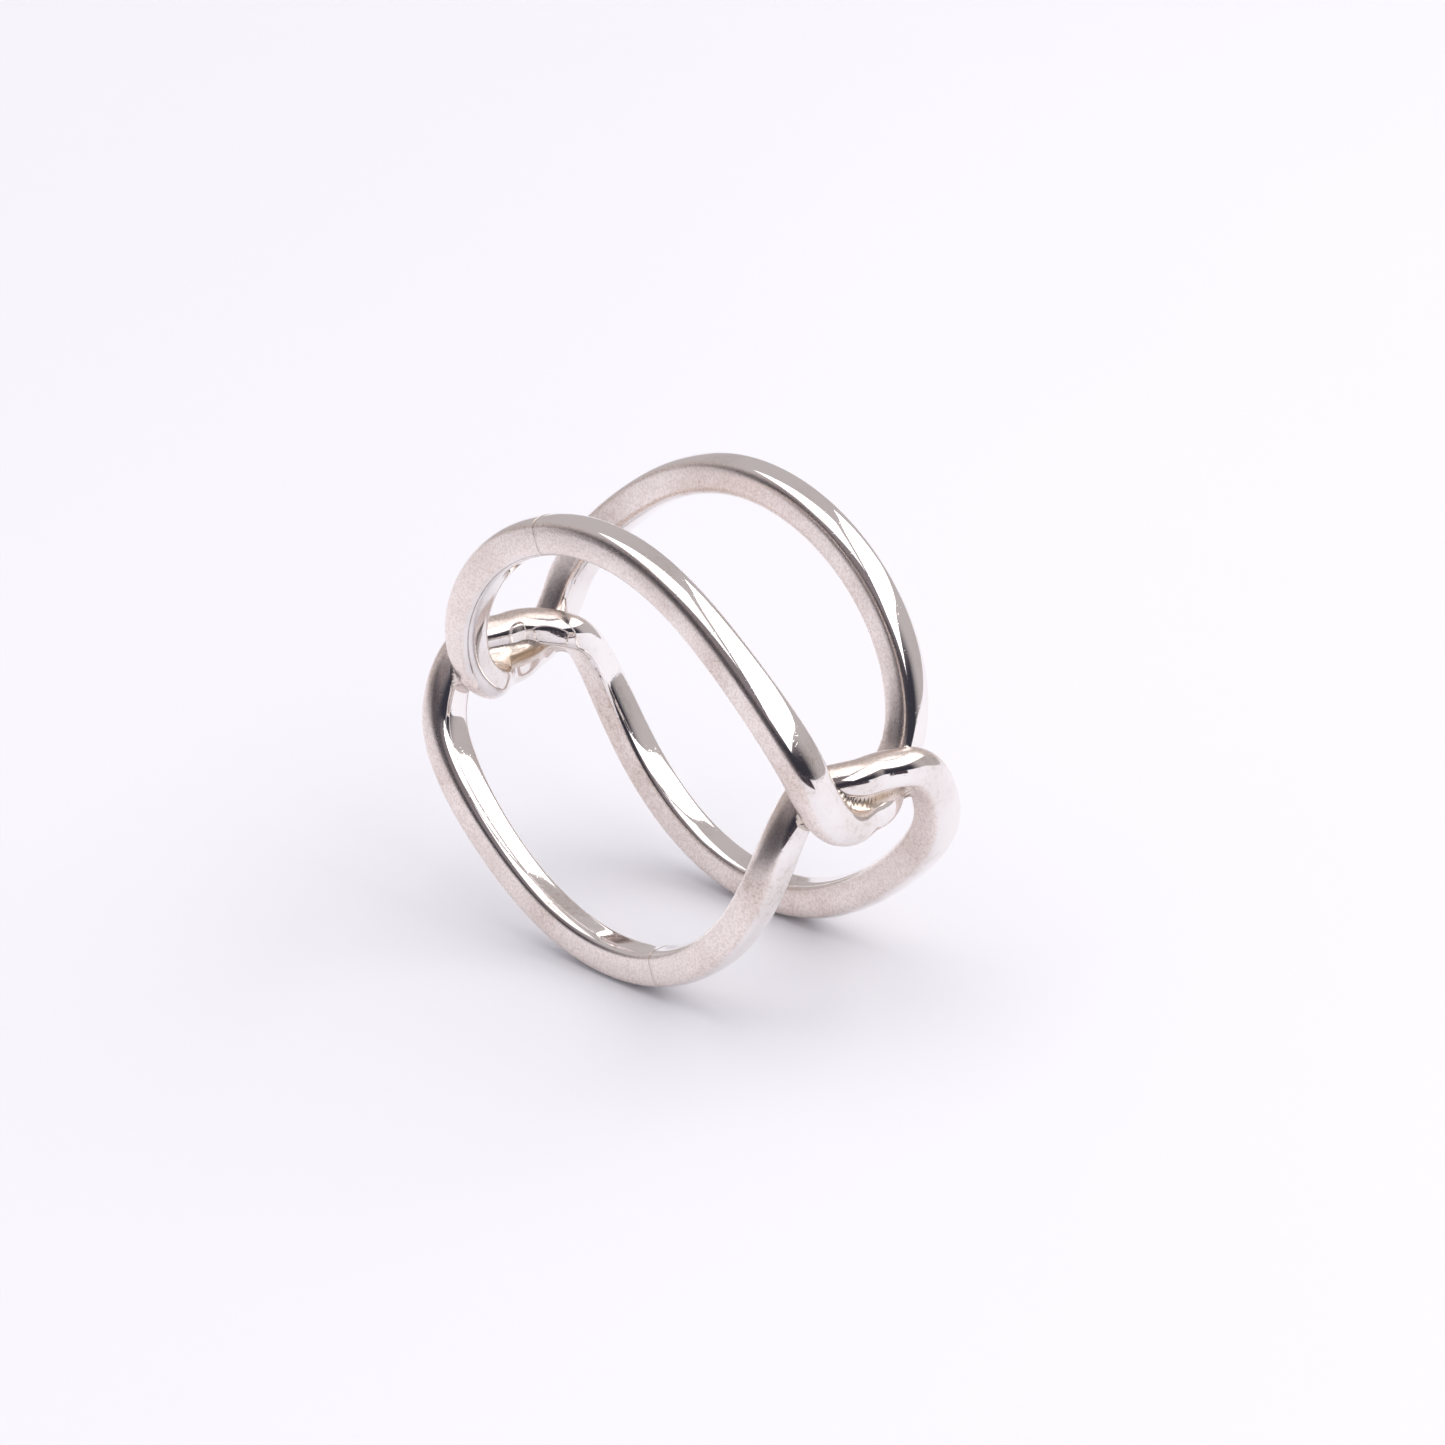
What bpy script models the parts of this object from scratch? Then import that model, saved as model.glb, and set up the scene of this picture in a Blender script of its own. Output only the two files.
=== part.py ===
"""Finger ring made of two closed silver wire links, interlocked at each side and soldered there.

The finger hole runs along Y and is centred on the origin. The upper link goes over the top (+Z),
the lower link is the same shape turned half round about Y. At each side (+X and -X) the two bends
cross twice: the inner wire stays on the bore and the outer wire climbs over it.
"""

import math

import bmesh
import bpy
import numpy as np
from mathutils import Matrix, Vector

# Driving dimensions, in metres.
BORE_DIAMETER = 0.0173
BAND_WIDTH = 0.0105
WIRE_WIDTH = 0.00150
WIRE_THICKNESS = 0.00164
SIDE_SWELL = 0.00025
SHOULDER_SPREAD = 0.00025
EYE_GAP = 0.00020
SOLDER_FILM = 0.00010
SEAM_THICKNESS = 0.00012
SOLDER_REACH = 0.00100

# Clearances between neighbouring pieces, in metres.
JOINT_CLEARANCE = 0.00002
SEAM_RECESS = 0.00003

# Shape of a link laid out flat: |s / reach|^END_FULLNESS + |y / half_width|^SIDE_FULLNESS = 1.
END_FULLNESS = 4.5
SIDE_FULLNESS = 3.6
# Fullness of the wire's section: 2 is an ellipse, more is a rounded box.
DOME_CROWN_FULLNESS = 2.5
DOME_FLANK_FULLNESS = 4.4
BORE_FULLNESS = 4.2
HUG_FULLNESS = 2.0
HUG_ANGLE = math.radians(48)

# The climbing wire is at full height from before the crossing to past it, and it is down on the
# bore again a little before the next crossing, where it runs under.
LIFT_PAST_CROSSING = math.radians(8)
RAIL_HOLD = math.radians(11)
BEND_HOLD = math.radians(24)
LANDING_BEFORE_CROSSING = math.radians(5.5)
SHOULDER_PAST_CROSSING = math.radians(16)
SHOULDER_HOLD = math.radians(12)
SEAM_CLOCK_ANGLE = math.radians(-19)

# Fineness of the solids.
STATIONS = 104
SECTION_POINTS = 18
SOLDER_SEGMENTS = 20
DENSE = 7200

# Worked out from the above.
WIRE_CENTRE_RADIUS = (BORE_DIAMETER + WIRE_THICKNESS) / 2
HALF_WIDTH = (BAND_WIDTH - WIRE_WIDTH) / 2
LIFT = WIRE_THICKNESS + SOLDER_FILM
SIDE_RADIUS = WIRE_CENTRE_RADIUS + LIFT / 2 + SIDE_SWELL
REACH = math.pi / 2 + (WIRE_WIDTH + EYE_GAP) / (2 * SIDE_RADIUS)
CROSSING = math.acos((math.pi / 2 / REACH) ** (END_FULLNESS / 2))
LIFT_CENTRE = CROSSING + LIFT_PAST_CROSSING
SHOULDER_CENTRE = CROSSING + SHOULDER_PAST_CROSSING
LIFT_END = min(CROSSING + LIFT_CENTRE - LANDING_BEFORE_CROSSING, math.pi / 2 - LIFT_CENTRE)
HALF_TURN = Matrix.Rotation(math.pi, 4, "Y")


def clear_scene():
    for obj in list(bpy.data.objects):
        bpy.data.objects.remove(obj, do_unlink=True)


def new_collection(name):
    collection = bpy.data.collections.new(name)
    bpy.context.scene.collection.children.link(collection)
    return collection


def metal(name, colour, roughness):
    material = bpy.data.materials.new(name)
    material.use_nodes = True
    shader = material.node_tree.nodes["Principled BSDF"]
    shader.inputs["Base Color"].default_value = (*colour, 1)
    shader.inputs["Roughness"].default_value = roughness
    shader.inputs["Metallic"].default_value = 1
    return material


def smooth_step(x):
    x = np.clip(x, 0, 1)
    return x * x * (3 - 2 * x)


def signed_power(x, power):
    return np.sign(x) * np.abs(x) ** power


def lift_at(path_angle):
    """0 where the wire lies on the bore, 1 where it rides over the other link."""
    off_centre = np.angle(np.exp(2j * (path_angle + LIFT_CENTRE))) / 2
    hold = np.where(off_centre > 0, BEND_HOLD, RAIL_HOLD)
    return smooth_step((LIFT_END - np.abs(off_centre)) / (LIFT_END - hold))


def shoulder_at(path_angle):
    """1 on the broad shoulder where the wire climbs, fading out before the tip of the bend."""
    off_tip = np.angle(np.exp(2j * path_angle)) / 2
    off_shoulder = np.abs(off_tip + SHOULDER_CENTRE)
    return smooth_step((SHOULDER_CENTRE - off_shoulder) / (SHOULDER_CENTRE - SHOULDER_HOLD))


def path_point(path_angle):
    """Centre of the wire. The path angle is 0 at the right bend and 90 degrees on the back rail."""
    clock = REACH * signed_power(np.cos(path_angle), 2 / END_FULLNESS)
    across = HALF_WIDTH * signed_power(np.sin(path_angle), 2 / SIDE_FULLNESS)
    swell = SIDE_SWELL * np.cos(path_angle) ** 2
    radius = WIRE_CENTRE_RADIUS + swell + LIFT * lift_at(path_angle)
    return np.stack([radius * np.sin(clock), across, radius * np.cos(clock)], axis=-1)


def path_angle_on_front_rail(clock_angle):
    return -math.acos(abs(clock_angle / REACH) ** (END_FULLNESS / 2) * np.sign(clock_angle))


def even_path_angles(start_gap, stations):
    """Path angles at equal distances along the wire, round from one side of the seam to the other."""
    seam = path_angle_on_front_rail(SEAM_CLOCK_ANGLE)
    dense = np.linspace(seam, seam + 2 * math.pi, DENSE)
    steps = np.linalg.norm(np.diff(path_point(dense), axis=0), axis=1)
    along = np.concatenate([[0], np.cumsum(steps)])
    wanted = np.linspace(start_gap, along[-1] - start_gap, stations)
    return np.interp(wanted, along, dense)


def wire_frame(path_angle):
    """Centre of the wire, the direction out of the link's window, and the direction out of the bore."""
    step = 1e-4
    centre = Vector(path_point(path_angle))
    ahead = Vector(path_point(path_angle + step)) - Vector(path_point(path_angle - step))
    ahead.normalize()
    outward = Vector((centre.x, 0, centre.z)).normalized()
    outward = (outward - outward.dot(ahead) * ahead).normalized()
    return centre, outward.cross(ahead), outward


def fullness_at(section_angle, path_angle):
    """Fullness of one quarter of the section, across the wire and through it. 2 and 2 is an ellipse."""
    outside = math.sin(section_angle) > 0
    across = DOME_CROWN_FULLNESS if outside else BORE_FULLNESS
    through = DOME_FLANK_FULLNESS if outside else BORE_FULLNESS
    if math.cos(section_angle) > 0:
        return across, through
    from_bend = abs(np.angle(np.exp(2j * path_angle))) / 2
    hug = float(smooth_step(1.5 - from_bend / HUG_ANGLE))
    return across + (HUG_FULLNESS - across) * hug, through + (HUG_FULLNESS - through) * hug


def section_point(section_angle, path_angle, grow):
    across, through = fullness_at(section_angle, path_angle)
    width = WIRE_WIDTH + SHOULDER_SPREAD * shoulder_at(path_angle)
    out_of_window = (width / 2 + grow) * signed_power(math.cos(section_angle), 2 / across)
    out_of_bore = (WIRE_THICKNESS / 2 + grow) * signed_power(math.sin(section_angle), 2 / through)
    return float(out_of_window), float(out_of_bore)


def add_section(bm, path_angle, grow):
    """One closed loop of edges round the wire at this path angle."""
    verts = bmesh.ops.create_circle(bm, segments=SECTION_POINTS, radius=1)["verts"]
    centre, sideways, outward = wire_frame(path_angle)
    for index, vert in enumerate(verts):
        angle = 2 * math.pi * (index + 0.5) / SECTION_POINTS
        a, b = section_point(angle, path_angle, grow)
        vert.co = centre + a * sideways + b * outward
    return list({edge for vert in verts for edge in vert.link_edges})


def swept_mesh(name, path_angles, grow):
    """A solid run of wire through these path angles, with flat ends."""
    bm = bmesh.new()
    loops = [add_section(bm, angle, grow) for angle in path_angles]
    for first, second in zip(loops, loops[1:]):
        bmesh.ops.bridge_loops(bm, edges=first + second)
    bmesh.ops.holes_fill(bm, edges=loops[0] + loops[-1], sides=SECTION_POINTS)
    bmesh.ops.recalc_face_normals(bm, faces=bm.faces)
    mesh = bpy.data.meshes.new(name)
    bm.to_mesh(mesh)
    bm.free()
    mesh.shade_smooth()
    mesh.set_sharp_from_angle(angle=math.radians(40))
    return mesh


def place(name, mesh, collection, material, turn=Matrix.Identity(4)):
    obj = bpy.data.objects.new(name, mesh)
    obj.matrix_world = turn
    if material and not mesh.materials:
        mesh.materials.append(material)
    collection.objects.link(obj)
    return obj


def make_links(parts, silver):
    """The two wire links, the same mesh used twice."""
    gap = SEAM_THICKNESS / 2 + JOINT_CLEARANCE
    mesh = swept_mesh("wire_link", even_path_angles(gap, STATIONS), 0)
    place("upper_link", mesh, parts, silver)
    place("lower_link", mesh, parts, silver, HALF_TURN)


def make_seams(parts, solder):
    """The thin run of solder that closes each link on its front rail."""
    seam = path_angle_on_front_rail(SEAM_CLOCK_ANGLE)
    step = 1e-4
    speed = np.linalg.norm(path_point(seam + step) - path_point(seam - step)) / (2 * step)
    half = SEAM_THICKNESS / 2 / speed
    mesh = swept_mesh("link_seam", [seam - half, seam + half], -SEAM_RECESS)
    place("upper_link_seam", mesh, parts, solder)
    place("lower_link_seam", mesh, parts, solder, HALF_TURN)


def make_cutters(cutters):
    """Both links, fatter by the joint clearance."""
    mesh = swept_mesh("wire_link_cutter", even_path_angles(0, STATIONS), JOINT_CLEARANCE)
    made = [
        place("upper_link_cutter", mesh, cutters, None),
        place("lower_link_cutter", mesh, cutters, None, HALF_TURN),
    ]
    for cutter in made:
        cutter.hide_render = True
        cutter.display_type = "WIRE"
    return made


def make_crossing_solder(name, side, front, parts, solder, link_cutters):
    """Solder that fills the corners of one crossing, shaped by the two wires it joins."""
    bm = bmesh.new()
    bmesh.ops.create_uvsphere(
        bm, u_segments=SOLDER_SEGMENTS, v_segments=SOLDER_SEGMENTS // 2, radius=1
    )
    thickness = (WIRE_THICKNESS + SOLDER_FILM) / 2
    bmesh.ops.scale(bm, vec=(thickness, SOLDER_REACH, SOLDER_REACH), verts=bm.verts)
    mesh = bpy.data.meshes.new(name)
    bm.to_mesh(mesh)
    bm.free()
    mesh.shade_smooth()
    across = float(path_point(CROSSING)[1])
    obj = place(name, mesh, parts, solder)
    obj.location = (side * SIDE_RADIUS, front * across, 0)
    for cutter in link_cutters:
        cut = obj.modifiers.new("clear_" + cutter.name, "BOOLEAN")
        cut.operation = "DIFFERENCE"
        cut.solver = "EXACT"
        cut.object = cutter


def main():
    clear_scene()
    parts = new_collection("interlocked_link_ring")
    cutters = new_collection("cutters")
    silver = metal("polished_silver", (0.83, 0.81, 0.79), 0.12)
    solder = metal("silver_solder", (0.72, 0.66, 0.58), 0.38)
    make_links(parts, silver)
    make_seams(parts, solder)
    link_cutters = make_cutters(cutters)
    for side, side_name in ((1, "right"), (-1, "left")):
        for front, front_name in ((-1, "front"), (1, "back")):
            name = f"{side_name}_{front_name}_solder"
            make_crossing_solder(name, side, front, parts, solder, link_cutters)


main()
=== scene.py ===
"""Look of a finger ring: two polished silver wire links, interlocked and soldered at each side."""

import math

import bmesh
import bpy
import numpy as np
from mathutils import Matrix, Vector


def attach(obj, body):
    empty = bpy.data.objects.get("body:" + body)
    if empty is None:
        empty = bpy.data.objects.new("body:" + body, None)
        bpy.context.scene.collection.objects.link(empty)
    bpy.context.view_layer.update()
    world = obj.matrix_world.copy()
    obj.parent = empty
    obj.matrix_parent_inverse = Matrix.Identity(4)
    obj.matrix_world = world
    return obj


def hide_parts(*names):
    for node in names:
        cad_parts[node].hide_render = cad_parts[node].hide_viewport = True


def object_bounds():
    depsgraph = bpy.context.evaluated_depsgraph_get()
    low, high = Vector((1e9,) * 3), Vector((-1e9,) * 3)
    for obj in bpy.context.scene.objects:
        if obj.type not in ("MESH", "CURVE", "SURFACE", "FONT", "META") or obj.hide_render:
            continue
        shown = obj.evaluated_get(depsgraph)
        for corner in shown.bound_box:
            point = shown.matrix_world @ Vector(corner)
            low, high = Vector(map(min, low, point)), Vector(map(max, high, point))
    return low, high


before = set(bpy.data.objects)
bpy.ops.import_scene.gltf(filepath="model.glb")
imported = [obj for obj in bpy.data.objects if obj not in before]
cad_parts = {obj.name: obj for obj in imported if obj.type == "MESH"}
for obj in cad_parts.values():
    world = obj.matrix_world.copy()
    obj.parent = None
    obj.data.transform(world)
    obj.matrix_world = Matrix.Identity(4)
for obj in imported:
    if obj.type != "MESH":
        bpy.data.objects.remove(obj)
cad_low, cad_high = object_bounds()

MM = 0.001

# Sizes of the wire links, the same as the solids that the fine links stand for.
BORE_DIAMETER = 17.3 * MM
BAND_WIDTH = 10.5 * MM
WIRE_WIDTH = 1.50 * MM
WIRE_THICKNESS = 1.64 * MM
SIDE_SWELL = 0.25 * MM
SHOULDER_SPREAD = 0.25 * MM
EYE_GAP = 0.20 * MM
SOLDER_FILM = 0.10 * MM
SEAM_THICKNESS = 0.12 * MM
JOINT_CLEARANCE = 0.02 * MM
END_FULLNESS = 4.5
SIDE_FULLNESS = 3.6
DOME_CROWN_FULLNESS = 2.5
DOME_FLANK_FULLNESS = 4.4
BORE_FULLNESS = 4.2
HUG_FULLNESS = 2.0
HUG_ANGLE = math.radians(48)
HUG_EDGE = 1.5
LIFT_PAST_CROSSING = math.radians(8)
RAIL_HOLD = math.radians(11)
BEND_HOLD = math.radians(24)
LANDING_BEFORE_CROSSING = math.radians(5.5)
SHOULDER_PAST_CROSSING = math.radians(16)
SHOULDER_HOLD = math.radians(12)
SEAM_CLOCK_ANGLE = math.radians(-19)

WIRE_CENTRE_RADIUS = (BORE_DIAMETER + WIRE_THICKNESS) / 2
HALF_WIDTH = (BAND_WIDTH - WIRE_WIDTH) / 2
LIFT = WIRE_THICKNESS + SOLDER_FILM
SIDE_RADIUS = WIRE_CENTRE_RADIUS + LIFT / 2 + SIDE_SWELL
REACH = math.pi / 2 + (WIRE_WIDTH + EYE_GAP) / (2 * SIDE_RADIUS)
CROSSING = math.acos((math.pi / 2 / REACH) ** (END_FULLNESS / 2))
LIFT_CENTRE = CROSSING + LIFT_PAST_CROSSING
SHOULDER_CENTRE = CROSSING + SHOULDER_PAST_CROSSING
LIFT_END = min(CROSSING + LIFT_CENTRE - LANDING_BEFORE_CROSSING, math.pi / 2 - LIFT_CENTRE)
HALF_TURN = Matrix.Rotation(math.pi, 4, "Y")

# Fineness of the shown wire.
LINK_STATIONS = 420
SECTION_POINTS = 44
DENSE = 7200
FLOOR_SEGMENTS = 96
FLAG_STEPS = 48
EYE_FILL_SEGMENTS = 32
SHARP_EDGE = math.radians(40)
PATH_STEP = 1e-4

# Camera.
CAMERA_AZIMUTH = math.radians(46.81)
CAMERA_ELEVATION = math.radians(24.28)
CAMERA_ROLL = math.radians(-1.75)
CAMERA_DISTANCE = 301.8 * MM
CAMERA_LENS = 178.8
SENSOR_WIDTH = 36
CLIP_START = 10 * MM
CLIP_END = 5
CAMERA_AIM = Vector((1.123, 1.076, -0.183)) * MM

# Solder webs: how far the wires are fattened before they run together, and how fine the skin is.
WEB_MELT = 0.32 * MM
WEB_UNDER = 0.05 * MM
WEB_RUN = math.radians(46)
WEB_TAPER = math.radians(10)
WEB_TUCK = 0.60 * MM
WEB_STATIONS = 90
WEB_POINTS = 36
WEB_GRAIN = 0.05 * MM
WEB_EASE_FIRST = 4
WEB_EASE_LAST = 6
EYE_FILL = (0.80 * MM, 2.30 * MM, 0.62 * MM)
SEAM_STATIONS = 3
SEAM_SHOWN_RECESS = 0.008 * MM

# Finish of the silver.
POLISHED_COLOUR = (0.93, 0.90, 0.89, 1)
# The satin colour is a painted reflection: a warm pinkish tint that stands in for the table and
# surroundings mirrored in the satin flanks.
SATIN_PAINTED_REFLECTION_COLOUR = (0.95, 0.86, 0.82, 1)
SAND_COLOUR = (0.66, 0.56, 0.50, 1)
SAND_FINENESS = 9000.0
LUMP_HEIGHT = 0.06 * MM
SAND_SHARE = 0.50
TARNISH_COLOUR = (0.40, 0.28, 0.19, 1)
SOLDER_COLOUR = (0.91, 0.87, 0.85, 1)
GOLDEN_COLOUR = (0.50, 0.35, 0.22, 1)
MIRROR_ROUGHNESS = 0.05
SATIN_ROUGHNESS = 0.27
FLANK_FROM = 0.70
FLANK_TO = 0.88
OPEN_SHELTER = 0.34
EYE_LENGTH = 1.25 * MM
EYE_DEPTH = 1.1 * MM
EYE_HEIGHT = 0.24 * MM
EYE_EDGE = 1.6

# Roughness of the solders, and what tarnish, scratches and shelter add to a roughness.
WEB_ROUGHNESS = 0.14
SEAM_ROUGHNESS = 0.12
HAZE_ROUGHNESS = 0.10
STAIN_ROUGHNESS = 0.22
SOLDER_STAIN_ROUGHNESS = 0.15
SHELTER_ROUGHNESS = 0.20

# Depths of the marks in the surface.
POLISH_HEIGHT = 0.006 * MM
SCRATCH_HEIGHT = 0.0012 * MM

# Patterns: fineness is in repeats per metre, and a cut is where a mark starts and is full.
SCRATCH_SETS = ((0.0, 14000.0), (0.35, 9000.0), (-0.9, 7000.0))
SCRATCH_TILT = 0.3
SCRATCH_STRETCH = (0.015, 1.0, 1.0)
SCRATCH_CUT = (0.66, 0.76)
PATCH_FINENESS = 700.0
PATCH_CUT = (0.42, 0.66)
SCRATCH_HAZE = 0.5
WAVE_FINENESS = 380.0
PIT_FINENESS = 5200.0
PIT_CUT = (0.62, 0.72)
CLOUD_FINENESS = 260.0
CLOUD_CUT = (0.40, 0.72)
SPECK_FINENESS = 4200.0
SPECK_CUT = (0.48, 0.66)
SPECK_SHARE = 0.55
TARNISH_GAIN = 1.5
SAND_CUT = (0.42, 0.62)
LUMP_FINENESS = 2600.0
MOTTLE_FINENESS = 9.0
MOTTLE_CUT = (0.3, 0.7)

# Studio.
FLOOR_COLOUR = (0.658, 0.641, 0.656, 1)
FLOOR_COLOUR_COOL = (0.643, 0.631, 0.656, 1)
FLOOR_RADIUS = 600 * MM
FLOOR_GAP = 0.01 * MM
BACKDROP_COLOUR = (0.90, 0.89, 0.94, 1)
ROOM_LIGHT_COLOUR = (0.52, 0.48, 0.48, 1)
ROOM_DARK_COLOUR = (0.040, 0.038, 0.052, 1)
ROOM_MID_COLOUR = (0.24, 0.21, 0.225, 1)
ROOM_DARK_AZIMUTH = 35
ROOM_DARK_SPAN = (-0.15, 0.32)
ROOM_MID_SPAN = (0.30, 0.58)
FLAG_COLOUR = (0.045, 0.036, 0.042, 1)
FLAG_INSIDE = 62 * MM
FLAG_OUTSIDE = 550 * MM
FLAG_AZIMUTHS = (-46, 98)
FLAG_HEIGHT = 0.05 * MM
SOFTBOXES = (
    ("side_softbox", 125, 49, 0.50, (1.10, 0.29), 2.0),
    ("top_softbox", -55, 84, 0.60, (0.58, 0.58), 1.2),
)


def smooth_step(x):
    x = np.clip(x, 0, 1)
    return x * x * (3 - 2 * x)


def signed_power(x, power):
    return np.sign(x) * np.abs(x) ** power


def lift_at(path_angle):
    """0 where the wire lies on the bore, 1 where it rides over the other link."""
    off_centre = np.angle(np.exp(2j * (path_angle + LIFT_CENTRE))) / 2
    hold = np.where(off_centre > 0, BEND_HOLD, RAIL_HOLD)
    return smooth_step((LIFT_END - np.abs(off_centre)) / (LIFT_END - hold))


def shoulder_at(path_angle):
    """1 on the broad shoulder where the wire climbs, fading out before the tip of the bend."""
    off_tip = np.angle(np.exp(2j * path_angle)) / 2
    off_shoulder = np.abs(off_tip + SHOULDER_CENTRE)
    return smooth_step((SHOULDER_CENTRE - off_shoulder) / (SHOULDER_CENTRE - SHOULDER_HOLD))


def path_point(path_angle):
    """Centre of the wire. The path angle is 0 at the right bend and 90 degrees on the back rail."""
    clock = REACH * signed_power(np.cos(path_angle), 2 / END_FULLNESS)
    across = HALF_WIDTH * signed_power(np.sin(path_angle), 2 / SIDE_FULLNESS)
    swell = SIDE_SWELL * np.cos(path_angle) ** 2
    radius = WIRE_CENTRE_RADIUS + swell + LIFT * lift_at(path_angle)
    return np.stack([radius * np.sin(clock), across, radius * np.cos(clock)], axis=-1)


def path_angle_on_front_rail(clock_angle):
    return -math.acos(abs(clock_angle / REACH) ** (END_FULLNESS / 2) * np.sign(clock_angle))


def even_path_angles(start_gap, stations):
    """Path angles at equal steps of wire, from one side of the seam round to the other."""
    seam = path_angle_on_front_rail(SEAM_CLOCK_ANGLE)
    dense = np.linspace(seam, seam + 2 * math.pi, DENSE)
    steps = np.linalg.norm(np.diff(path_point(dense), axis=0), axis=1)
    along = np.concatenate([[0], np.cumsum(steps)])
    wanted = np.linspace(start_gap, along[-1] - start_gap, stations)
    return np.interp(wanted, along, dense)


def wire_frame(path_angle):
    """Centre of the wire, the way out of the link's window, and the way out of the bore."""
    step = PATH_STEP
    centre = Vector(path_point(path_angle))
    ahead = Vector(path_point(path_angle + step)) - Vector(path_point(path_angle - step))
    ahead.normalize()
    outward = Vector((centre.x, 0, centre.z)).normalized()
    outward = (outward - outward.dot(ahead) * ahead).normalized()
    return centre, outward.cross(ahead), outward


def fullness_at(section_angle, path_angle):
    """Fullness of one quarter of the section, across the wire and through it. 2 is an ellipse."""
    outside = math.sin(section_angle) > 0
    across = DOME_CROWN_FULLNESS if outside else BORE_FULLNESS
    through = DOME_FLANK_FULLNESS if outside else BORE_FULLNESS
    if math.cos(section_angle) > 0:
        return across, through
    from_bend = abs(np.angle(np.exp(2j * path_angle))) / 2
    hug = float(smooth_step(HUG_EDGE - from_bend / HUG_ANGLE))
    return across + (HUG_FULLNESS - across) * hug, through + (HUG_FULLNESS - through) * hug


def section_point(section_angle, path_angle, grow):
    across, through = fullness_at(section_angle, path_angle)
    width = WIRE_WIDTH + SHOULDER_SPREAD * shoulder_at(path_angle)
    out_of_window = (width / 2 + grow) * signed_power(math.cos(section_angle), 2 / across)
    out_of_bore = (WIRE_THICKNESS / 2 + grow) * signed_power(math.sin(section_angle), 2 / through)
    return float(out_of_window), float(out_of_bore)


def add_section(bm, path_angle, grow, points):
    """One closed loop of edges round the wire at this path angle."""
    verts = bmesh.ops.create_circle(bm, segments=points, radius=1)["verts"]
    centre, sideways, outward = wire_frame(path_angle)
    for index, vert in enumerate(verts):
        angle = 2 * math.pi * (index + 0.5) / points
        a, b = section_point(angle, path_angle, grow)
        vert.co = centre + a * sideways + b * outward
    return list({edge for vert in verts for edge in vert.link_edges})


def swept_mesh(name, path_angles, grow, points):
    """A solid run of wire through these path angles, with flat ends. Grow may differ by station."""
    bm = bmesh.new()
    grows = np.broadcast_to(grow, len(path_angles))
    loops = [add_section(bm, *at, points) for at in zip(path_angles, grows)]
    for first, second in zip(loops, loops[1:]):
        bmesh.ops.bridge_loops(bm, edges=first + second)
    bmesh.ops.holes_fill(bm, edges=loops[0] + loops[-1], sides=points)
    bmesh.ops.recalc_face_normals(bm, faces=bm.faces)
    mesh = bpy.data.meshes.new(name)
    bm.to_mesh(mesh)
    bm.free()
    mesh.shade_smooth()
    mesh.set_sharp_from_angle(angle=SHARP_EDGE)
    return mesh


def make_camera():
    """A long lens that looks down on the ring from its front right."""
    back = Vector((
        math.sin(CAMERA_AZIMUTH) * math.cos(CAMERA_ELEVATION),
        -math.cos(CAMERA_AZIMUTH) * math.cos(CAMERA_ELEVATION),
        math.sin(CAMERA_ELEVATION),
    ))
    data = bpy.data.cameras.new("camera")
    data.lens = CAMERA_LENS
    data.sensor_width = SENSOR_WIDTH
    data.clip_start = CLIP_START
    data.clip_end = CLIP_END
    obj = bpy.data.objects.new("camera", data)
    bpy.context.scene.collection.objects.link(obj)
    turn = (-back).to_track_quat("-Z", "Y").to_matrix().to_4x4()
    turn = turn @ Matrix.Rotation(CAMERA_ROLL, 4, "Z")
    obj.matrix_world = Matrix.Translation(CAMERA_AIM + back * CAMERA_DISTANCE) @ turn
    bpy.context.scene.camera = obj


def make_piece(name, mesh, material, stands_for):
    """Puts a finished mesh in the scene in place of the solids that it stands for."""
    mesh.name = name
    mesh.materials.clear()
    mesh.materials.append(material)
    piece = bpy.data.objects.new(name, mesh)
    bpy.context.scene.collection.objects.link(piece)
    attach(piece, "root")
    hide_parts(*stands_for)
    return piece


def link_mesh(name, turned):
    """A whole polished link with smooth, round section, open only at its seam."""
    gap = SEAM_THICKNESS / 2 + JOINT_CLEARANCE
    mesh = swept_mesh(name, even_path_angles(gap, LINK_STATIONS), 0, SECTION_POINTS)
    if turned:
        mesh.transform(HALF_TURN)
    return mesh


def seam_mesh(name, turned):
    """The thin disc of solder in a link's seam."""
    seam = path_angle_on_front_rail(SEAM_CLOCK_ANGLE)
    step = PATH_STEP
    speed = np.linalg.norm(path_point(seam + step) - path_point(seam - step)) / (2 * step)
    half = (SEAM_THICKNESS / 2 + JOINT_CLEARANCE) / speed
    angles = np.linspace(seam - half, seam + half, SEAM_STATIONS)
    mesh = swept_mesh(name, angles, -SEAM_SHOWN_RECESS, SECTION_POINTS)
    if turned:
        mesh.transform(HALF_TURN)
    return mesh


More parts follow.
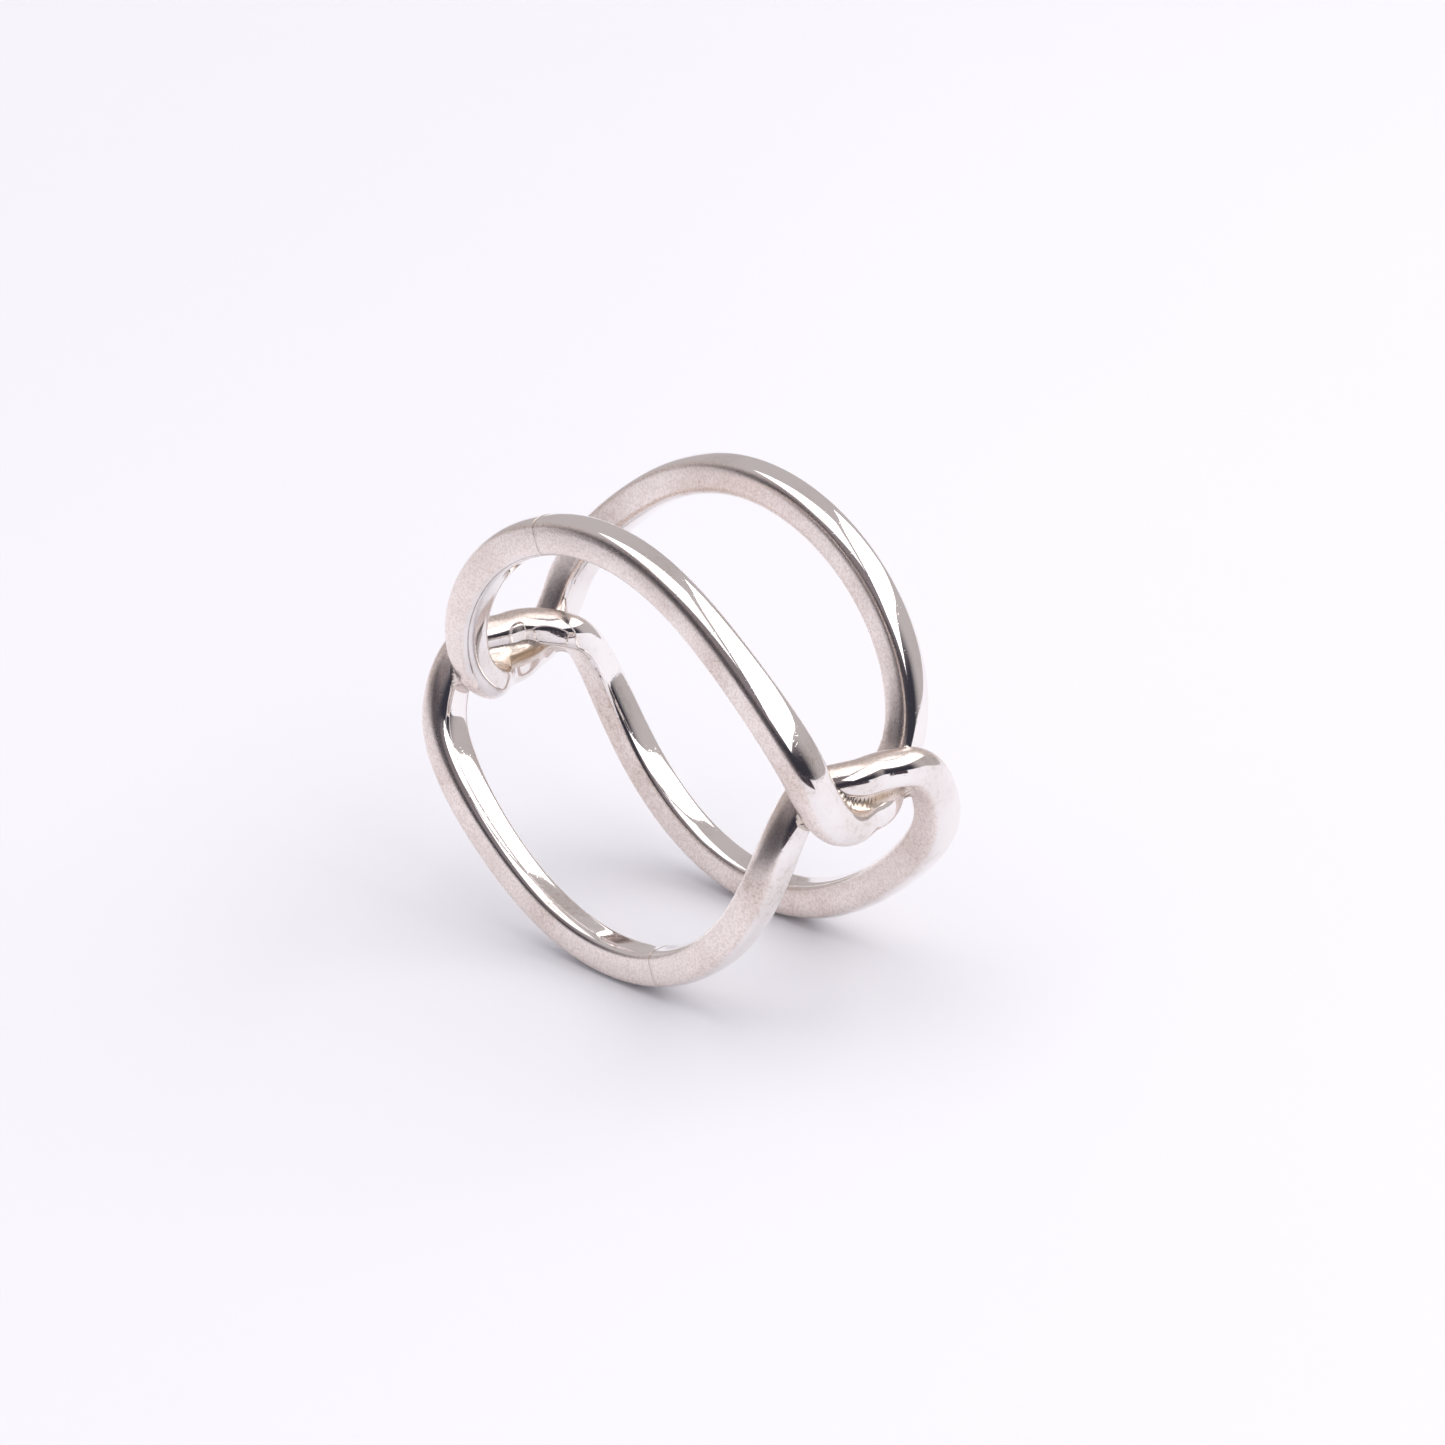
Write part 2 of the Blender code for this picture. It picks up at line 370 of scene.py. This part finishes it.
def web_mesh(name, bend):
    """Solder of one side: the wires of both bends fattened, run together, then drawn back in.

    What is left stands out of the wires only in their corners, as a smooth fillet.
    """
    melted = bmesh.new()
    for middle, turn in ((bend, Matrix.Identity(4)), (math.pi - bend, HALF_TURN)):
        angles = np.linspace(middle - WEB_RUN, middle + WEB_RUN, WEB_STATIONS)
        from_end = (WEB_RUN - np.abs(angles - middle)) / WEB_TAPER
        grow = WEB_MELT - WEB_TUCK * (1 - smooth_step(from_end))
        run = swept_mesh(name + "_run", angles, grow, WEB_POINTS)
        run.transform(turn)
        melted.from_mesh(run)
        bpy.data.meshes.remove(run)
    fill = bmesh.ops.create_uvsphere(
        melted, u_segments=EYE_FILL_SEGMENTS, v_segments=EYE_FILL_SEGMENTS // 2, radius=1
    )["verts"]
    reach = Vector(EYE_FILL) + Vector((WEB_MELT, WEB_MELT, WEB_MELT))
    bmesh.ops.scale(melted, vec=reach, verts=fill)
    bmesh.ops.translate(melted, vec=(SIDE_RADIUS * math.cos(bend), 0, 0), verts=fill)
    mesh = bpy.data.meshes.new(name + "_melted")
    melted.to_mesh(mesh)
    melted.free()
    blank = bpy.data.objects.new(name + "_melted", mesh)
    bpy.context.scene.collection.objects.link(blank)
    skin = blank.modifiers.new("skin", "REMESH")
    skin.mode = "VOXEL"
    skin.voxel_size = WEB_GRAIN
    skin.use_smooth_shade = True
    ease = blank.modifiers.new("ease", "SMOOTH")
    ease.iterations = WEB_EASE_FIRST
    draw_back = blank.modifiers.new("draw_back", "DISPLACE")
    draw_back.strength = -(WEB_MELT + WEB_UNDER)
    draw_back.mid_level = 0
    settle = blank.modifiers.new("settle", "SMOOTH")
    settle.iterations = WEB_EASE_LAST
    graph = bpy.context.evaluated_depsgraph_get()
    made = bpy.data.meshes.new_from_object(blank.evaluated_get(graph))
    bpy.data.objects.remove(blank)
    bpy.data.meshes.remove(mesh)
    made.shade_smooth()
    return made


# Node helpers.


def put(tree, kind, **settings):
    made = tree.nodes.new(kind)
    for key, value in settings.items():
        setattr(made, key, value)
    return made


def feed(tree, node, **values):
    """Sets or links a node's inputs, named with _ for a space."""
    for key, value in values.items():
        name = int(key[1:]) if key[1:].isdigit() else key.replace("_", " ")
        socket = node.inputs[name]
        if isinstance(value, bpy.types.NodeSocket):
            tree.links.new(value, socket)
        else:
            socket.default_value = value
    return node


def maths(tree, operation, a, b=0.0, c=0.0, clamp=False):
    node = put(tree, "ShaderNodeMath", operation=operation, use_clamp=clamp)
    return feed(tree, node, _0=a, _1=b, _2=c).outputs[0]


def between(tree, value, low, high, to_low=0.0, to_high=1.0):
    node = put(tree, "ShaderNodeMapRange", interpolation_type="SMOOTHSTEP")
    names = {"Value": value, "From Min": low, "From Max": high, "To Min": to_low, "To Max": to_high}
    for key, given in names.items():
        if isinstance(given, bpy.types.NodeSocket):
            tree.links.new(given, node.inputs[key])
        else:
            node.inputs[key].default_value = given
    return node.outputs["Result"]


def blended(tree, share, colour_a, colour_b):
    node = put(tree, "ShaderNodeMix", data_type="RGBA")
    for index, given in ((0, share), (6, colour_a), (7, colour_b)):
        if isinstance(given, bpy.types.NodeSocket):
            tree.links.new(given, node.inputs[index])
        else:
            node.inputs[index].default_value = given
    return node.outputs[2]


def noise(tree, place, scale, detail=2.0, roughness=0.5):
    node = put(tree, "ShaderNodeTexNoise")
    feed(tree, node, Vector=place, Scale=scale, Detail=detail, Roughness=roughness)
    return node.outputs["Fac"]


def new_group(name, inputs, outputs):
    """An empty shader node group with float, colour or vector sockets."""
    group = bpy.data.node_groups.new(name, "ShaderNodeTree")
    for label, kind in inputs:
        group.interface.new_socket(label, in_out="INPUT", socket_type=kind)
    for label, kind in outputs:
        group.interface.new_socket(label, in_out="OUTPUT", socket_type=kind)
    return group, group.nodes.new("NodeGroupInput"), group.nodes.new("NodeGroupOutput")


def fine_scratches_group():
    """Hair scratches from the polishing wheel: long along the wire, very narrow across it."""
    group, given, put_out = new_group(
        "fine_scratches",
        [("Place", "NodeSocketVector"), ("Strength", "NodeSocketFloat")],
        [("Height", "NodeSocketFloat"), ("Haze", "NodeSocketFloat")],
    )
    total = None
    for lean, fineness in SCRATCH_SETS:
        turn = put(group, "ShaderNodeMapping")
        turn.inputs["Rotation"].default_value = (0.0, SCRATCH_TILT * lean, lean)
        turn.inputs["Scale"].default_value = SCRATCH_STRETCH
        group.links.new(given.outputs["Place"], turn.inputs["Vector"])
        lines = noise(group, turn.outputs["Vector"], fineness, 1.0)
        cut = between(group, lines, *SCRATCH_CUT)
        total = cut if total is None else maths(group, "ADD", total, cut)
    patches = between(group, noise(group, given.outputs["Place"], PATCH_FINENESS), *PATCH_CUT)
    marks = maths(group, "MULTIPLY", total, patches)
    depth = maths(group, "MULTIPLY", marks, given.outputs["Strength"])
    group.links.new(maths(group, "MULTIPLY", depth, -1.0), put_out.inputs["Height"])
    haze = maths(group, "MULTIPLY", depth, SCRATCH_HAZE, clamp=True)
    group.links.new(haze, put_out.inputs["Haze"])
    return group


def hand_polish_group():
    """The slow waviness and tiny pits left under a hand polish."""
    group, given, put_out = new_group(
        "hand_polish",
        [("Place", "NodeSocketVector"), ("Waves", "NodeSocketFloat"), ("Pits", "NodeSocketFloat")],
        [("Height", "NodeSocketFloat")],
    )
    wave = noise(group, given.outputs["Place"], WAVE_FINENESS, 1.0)
    pit = between(group, noise(group, given.outputs["Place"], PIT_FINENESS), *PIT_CUT)
    high = maths(group, "MULTIPLY", wave, given.outputs["Waves"])
    low = maths(group, "MULTIPLY", pit, given.outputs["Pits"])
    group.links.new(maths(group, "SUBTRACT", high, low), put_out.inputs["Height"])
    return group


def tarnish_group():
    """Brown specks and clouds of old tarnish, thicker where Shelter is high."""
    group, given, put_out = new_group(
        "tarnish",
        [("Place", "NodeSocketVector"), ("Shelter", "NodeSocketFloat")],
        [("Mask", "NodeSocketFloat")],
    )
    cloud = between(group, noise(group, given.outputs["Place"], CLOUD_FINENESS, 3.0), *CLOUD_CUT)
    grain = noise(group, given.outputs["Place"], SPECK_FINENESS, 3.0, 0.7)
    speck = between(group, grain, *SPECK_CUT)
    mixed = maths(group, "MULTIPLY_ADD", speck, SPECK_SHARE, 1 - SPECK_SHARE)
    rubbed = maths(group, "MULTIPLY", cloud, mixed)
    held = maths(group, "MULTIPLY", given.outputs["Shelter"], rubbed)
    mask = maths(group, "MULTIPLY", held, TARNISH_GAIN, clamp=True)
    group.links.new(mask, put_out.inputs["Mask"])
    return group


def use_group(tree, group, **values):
    node = put(tree, "ShaderNodeGroup", node_tree=group)
    return feed(tree, node, **values)


def read_attribute(tree, name, output="Fac"):
    return put(tree, "ShaderNodeAttribute", attribute_name=name).outputs[output]


def polished_silver_material(scratches, polish, tarnish):
    """Mirror on dome and bore, soft satin on the two flanks, tarnish where hands don't rub. The
    flanks also carry a painted reflection: a warm pinkish tint in their colour that stands in for
    the mirrored table and surroundings.
    """
    material = bpy.data.materials.new("polished_silver")
    material.use_nodes = True
    tree = material.node_tree
    shader = tree.nodes["Principled BSDF"]
    place = put(tree, "ShaderNodeTexCoord").outputs["Object"]
    wire = read_attribute(tree, "wire_place", "Vector")
    flank = read_attribute(tree, "flank")
    shelter = read_attribute(tree, "shelter")
    lines = use_group(tree, scratches, Place=wire, Strength=0.45)
    under = use_group(tree, polish, Place=place, Waves=1.0, Pits=0.25)
    stain = use_group(tree, tarnish, Place=place, Shelter=shelter).outputs["Mask"]
    sand = between(tree, noise(tree, place, SAND_FINENESS, 2.0, 0.65), *SAND_CUT)
    sanded = maths(tree, "MULTIPLY", maths(tree, "MULTIPLY", sand, flank), SAND_SHARE)
    # Painted reflection: the flanks are tinted warm pink in place of the mirrored table and
    # surroundings. The sand grain mixed in next is real texture.
    silver_with_painted_reflection = blended(tree, flank, POLISHED_COLOUR, SATIN_PAINTED_REFLECTION_COLOUR)
    silver_with_painted_reflection = blended(tree, sanded, silver_with_painted_reflection, SAND_COLOUR)
    colour = blended(tree, stain, silver_with_painted_reflection, TARNISH_COLOUR)
    duller = SATIN_ROUGHNESS - MIRROR_ROUGHNESS
    satin = maths(tree, "MULTIPLY_ADD", flank, duller, MIRROR_ROUGHNESS)
    hazed = maths(tree, "MULTIPLY_ADD", lines.outputs["Haze"], HAZE_ROUGHNESS, satin)
    dulled = maths(tree, "MULTIPLY_ADD", stain, STAIN_ROUGHNESS, hazed, clamp=True)
    high = maths(tree, "MULTIPLY", under.outputs["Height"], POLISH_HEIGHT)
    height = maths(tree, "MULTIPLY_ADD", lines.outputs["Height"], SCRATCH_HEIGHT, high)
    bump = feed(tree, put(tree, "ShaderNodeBump"), Height=height, Strength=1.0, Distance=1.0)
    normal = bump.outputs["Normal"]
    feed(tree, shader, Metallic=1.0, Base_Color=colour, Roughness=dulled, Normal=normal)
    return material


def solder_material(name, scratches, polish, tarnish, roughness, in_eye):
    """Solder: duller than the wire, lumpy and golden brown where the eye shelters it."""
    material = bpy.data.materials.new(name)
    material.use_nodes = True
    tree = material.node_tree
    shader = tree.nodes["Principled BSDF"]
    place = put(tree, "ShaderNodeTexCoord").outputs["Object"]
    shelter = read_attribute(tree, "shelter") if in_eye else OPEN_SHELTER
    lines = use_group(tree, scratches, Place=place, Strength=0.7)
    under = use_group(tree, polish, Place=place, Waves=1.0, Pits=0.6)
    stain = use_group(tree, tarnish, Place=place, Shelter=shelter).outputs["Mask"]
    colour = blended(tree, shelter, SOLDER_COLOUR, GOLDEN_COLOUR)
    colour = blended(tree, stain, colour, TARNISH_COLOUR)
    lumps = noise(tree, place, LUMP_FINENESS, 3.0)
    rough_base = maths(tree, "MULTIPLY_ADD", shelter, SHELTER_ROUGHNESS, roughness)
    rough = maths(tree, "MULTIPLY_ADD", stain, SOLDER_STAIN_ROUGHNESS, rough_base, clamp=True)
    lumpy = maths(tree, "MULTIPLY", maths(tree, "MULTIPLY", lumps, shelter), LUMP_HEIGHT)
    smooth = maths(tree, "MULTIPLY", under.outputs["Height"], POLISH_HEIGHT)
    high = maths(tree, "ADD", lumpy, smooth)
    height = maths(tree, "MULTIPLY_ADD", lines.outputs["Height"], SCRATCH_HEIGHT, high)
    bump = feed(tree, put(tree, "ShaderNodeBump"), Height=height, Strength=1.0, Distance=1.0)
    normal = bump.outputs["Normal"]
    feed(tree, shader, Metallic=1.0, Base_Color=colour, Roughness=rough, Normal=normal)
    return material


def floor_material():
    """Matt and pale, with a very faint slow change of colour."""
    material = bpy.data.materials.new("pale_floor")
    material.use_nodes = True
    tree = material.node_tree
    shader = tree.nodes["Principled BSDF"]
    place = put(tree, "ShaderNodeTexCoord").outputs["Object"]
    mottle = between(tree, noise(tree, place, MOTTLE_FINENESS), *MOTTLE_CUT)
    colour = blended(tree, mottle, FLOOR_COLOUR, FLOOR_COLOUR_COOL)
    feed(tree, shader, Base_Color=colour, Roughness=0.9, Specular_IOR_Level=0.1)
    return material


def make_floor(low):
    """A round pale table top that the ring stands on."""
    bm = bmesh.new()
    bmesh.ops.create_circle(bm, segments=FLOOR_SEGMENTS, radius=FLOOR_RADIUS, cap_ends=True)
    bmesh.ops.translate(bm, vec=(0, 0, low.z - FLOOR_GAP), verts=bm.verts)
    mesh = bpy.data.meshes.new("floor")
    bm.to_mesh(mesh)
    bm.free()
    mesh.materials.append(floor_material())
    floor = bpy.data.objects.new("floor", mesh)
    bpy.context.scene.collection.objects.link(floor)


def make_flag():
    """A black cloth laid round the front of the table, seen only as a reflection in the metal."""
    bm = bmesh.new()
    start, end = FLAG_AZIMUTHS
    inner = bm.verts.new(direction(start, 0) * FLAG_INSIDE)
    outer = bm.verts.new(direction(start, 0) * FLAG_OUTSIDE)
    edge = bm.edges.new((inner, outer))
    bmesh.ops.spin(
        bm, geom=[inner, outer, edge], axis=(0, 0, 1), cent=(0, 0, 0),
        angle=math.radians(end - start), steps=FLAG_STEPS,
    )
    bmesh.ops.translate(bm, vec=(0, 0, cad_low.z + FLAG_HEIGHT), verts=bm.verts)
    mesh = bpy.data.meshes.new("black_flag")
    bm.to_mesh(mesh)
    bm.free()
    cloth = bpy.data.materials.new("black_cloth")
    cloth.use_nodes = True
    shader = cloth.node_tree.nodes["Principled BSDF"]
    shader.inputs["Base Color"].default_value = FLAG_COLOUR
    shader.inputs["Roughness"].default_value = 1
    shader.inputs["Specular IOR Level"].default_value = 0
    mesh.materials.append(cloth)
    flag = bpy.data.objects.new("black_flag", mesh)
    bpy.context.scene.collection.objects.link(flag)
    flag.visible_camera = False
    flag.visible_diffuse = False
    flag.visible_shadow = False


def make_softbox(name, azimuth, elevation, distance, size, radiance):
    """A rectangular softbox that faces the ring."""
    data = bpy.data.lights.new(name, "AREA")
    data.shape = "RECTANGLE"
    data.size, data.size_y = size
    data.energy = radiance * math.pi * size[0] * size[1]
    away = direction(azimuth, elevation)
    lamp = bpy.data.objects.new(name, data)
    lamp.location = away * distance
    lamp.rotation_euler = away.to_track_quat("Z", "Y").to_euler()
    lamp.visible_camera = False
    bpy.context.scene.collection.objects.link(lamp)


def direction(azimuth, elevation):
    """Unit vector; azimuth 0 is towards the front (-Y) and 90 towards the right (+X)."""
    a, e = math.radians(azimuth), math.radians(elevation)
    return Vector((math.sin(a) * math.cos(e), -math.cos(a) * math.cos(e), math.sin(e)))


def make_studio():
    """A pale backdrop for the eye, and for the metal a dim room with white softboxes."""
    world = bpy.data.worlds.new("studio")
    bpy.context.scene.world = world
    world.use_nodes = True
    tree = world.node_tree
    seen = tree.nodes["Background"]
    seen.inputs["Color"].default_value = BACKDROP_COLOUR
    room = put(tree, "ShaderNodeBackground")
    heading = put(tree, "ShaderNodeTexCoord").outputs["Generated"]
    parts = put(tree, "ShaderNodeSeparateXYZ")
    tree.links.new(heading, parts.inputs[0])
    dark_side = direction(ROOM_DARK_AZIMUTH, 0)
    rightward = maths(tree, "MULTIPLY", parts.outputs["X"], dark_side.x)
    towards_dark = maths(tree, "MULTIPLY_ADD", parts.outputs["Y"], dark_side.y, rightward)
    turned = between(tree, towards_dark, *ROOM_DARK_SPAN)
    height = between(tree, parts.outputs["Z"], *ROOM_MID_SPAN)
    dark_part = blended(tree, height, ROOM_DARK_COLOUR, ROOM_MID_COLOUR)
    tree.links.new(blended(tree, turned, ROOM_LIGHT_COLOUR, dark_part), room.inputs["Color"])
    choose = put(tree, "ShaderNodeMixShader")
    mirrored = put(tree, "ShaderNodeLightPath").outputs["Is Glossy Ray"]
    tree.links.new(mirrored, choose.inputs[0])
    tree.links.new(seen.outputs[0], choose.inputs[1])
    tree.links.new(room.outputs[0], choose.inputs[2])
    tree.links.new(choose.outputs[0], tree.nodes["World Output"].inputs["Surface"])
    for name, azimuth, elevation, distance, size, radiance in SOFTBOXES:
        make_softbox(name, azimuth, elevation, distance, size, radiance)
    bpy.context.scene.view_settings.view_transform = "Standard"


def mark_wire(mesh):
    """Stores where each point lies on the wire, how far it faces sideways, and its shelter."""
    count = len(mesh.vertices)
    place = mesh.attributes.new("wire_place", "FLOAT_VECTOR", "POINT")
    flank = mesh.attributes.new("flank", "FLOAT", "POINT")
    shelter = mesh.attributes.new("shelter", "FLOAT", "POINT")
    points = np.empty(count * 3, np.float32)
    mesh.vertices.foreach_get("co", points)
    points = points.reshape(-1, 3).astype(float)
    angles = even_path_angles(SEAM_THICKNESS / 2 + JOINT_CLEARANCE, LINK_STATIONS)
    centres = path_point(angles)
    along = np.concatenate([[0], np.cumsum(np.linalg.norm(np.diff(centres, axis=0), axis=1))])
    index = np.arange(count)
    station, step = index // SECTION_POINTS, index % SECTION_POINTS
    around = 2 * math.pi * (step + 0.5) / SECTION_POINTS
    radius = WIRE_THICKNESS / 2
    where = np.stack([along[station], radius * np.cos(around), radius * np.sin(around)], axis=-1)
    place.data.foreach_set("vector", where.astype(np.float32).ravel())
    facing = smooth_step((np.abs(np.cos(around)) - FLANK_FROM) / (FLANK_TO - FLANK_FROM))
    flank.data.foreach_set("value", facing.astype(np.float32))
    shelter.data.foreach_set("value", shelter_of(points).astype(np.float32))


def shelter_of(points):
    """0 on open wire, up to 1 in the eye and corners between the two bends."""
    across = np.abs(points[:, 1])
    from_side = np.abs(np.abs(points[:, 0]) - SIDE_RADIUS)
    low = np.abs(points[:, 2])
    sides = (across / EYE_LENGTH) ** 2 + (from_side / EYE_DEPTH) ** 2
    eye = np.sqrt(sides + (low / EYE_HEIGHT) ** 2)
    return OPEN_SHELTER + (1 - OPEN_SHELTER) * smooth_step(EYE_EDGE - eye)


def mark_shelter(mesh):
    """Stores how sheltered each point of a web is."""
    count = len(mesh.vertices)
    points = np.empty(count * 3, np.float32)
    mesh.vertices.foreach_get("co", points)
    shelter = mesh.attributes.new("shelter", "FLOAT", "POINT")
    sheltered = shelter_of(points.reshape(-1, 3).astype(float))
    shelter.data.foreach_set("value", sheltered.astype(np.float32))


def main():
    scratches, polish, tarnish = fine_scratches_group(), hand_polish_group(), tarnish_group()
    silver = polished_silver_material(scratches, polish, tarnish)
    web_solder = solder_material("web_solder", scratches, polish, tarnish, WEB_ROUGHNESS, True)
    seam_solder = solder_material("seam_solder", scratches, polish, tarnish, SEAM_ROUGHNESS, False)
    for name, turned in (("upper_link", False), ("lower_link", True)):
        link = link_mesh(name, turned)
        mark_wire(link)
        make_piece("polished_" + name, link, silver, [name])
        seam = name + "_seam"
        make_piece("filled_" + seam, seam_mesh(seam, turned), seam_solder, [seam])
    for side, bend in (("right", 0.0), ("left", math.pi)):
        web = web_mesh(side + "_solder_web", bend)
        mark_shelter(web)
        nodes = [f"{side}_front_solder", f"{side}_back_solder"]
        make_piece(side + "_solder_web", web, web_solder, nodes)
    make_floor(cad_low)
    make_flag()
    make_studio()
    make_camera()


main()
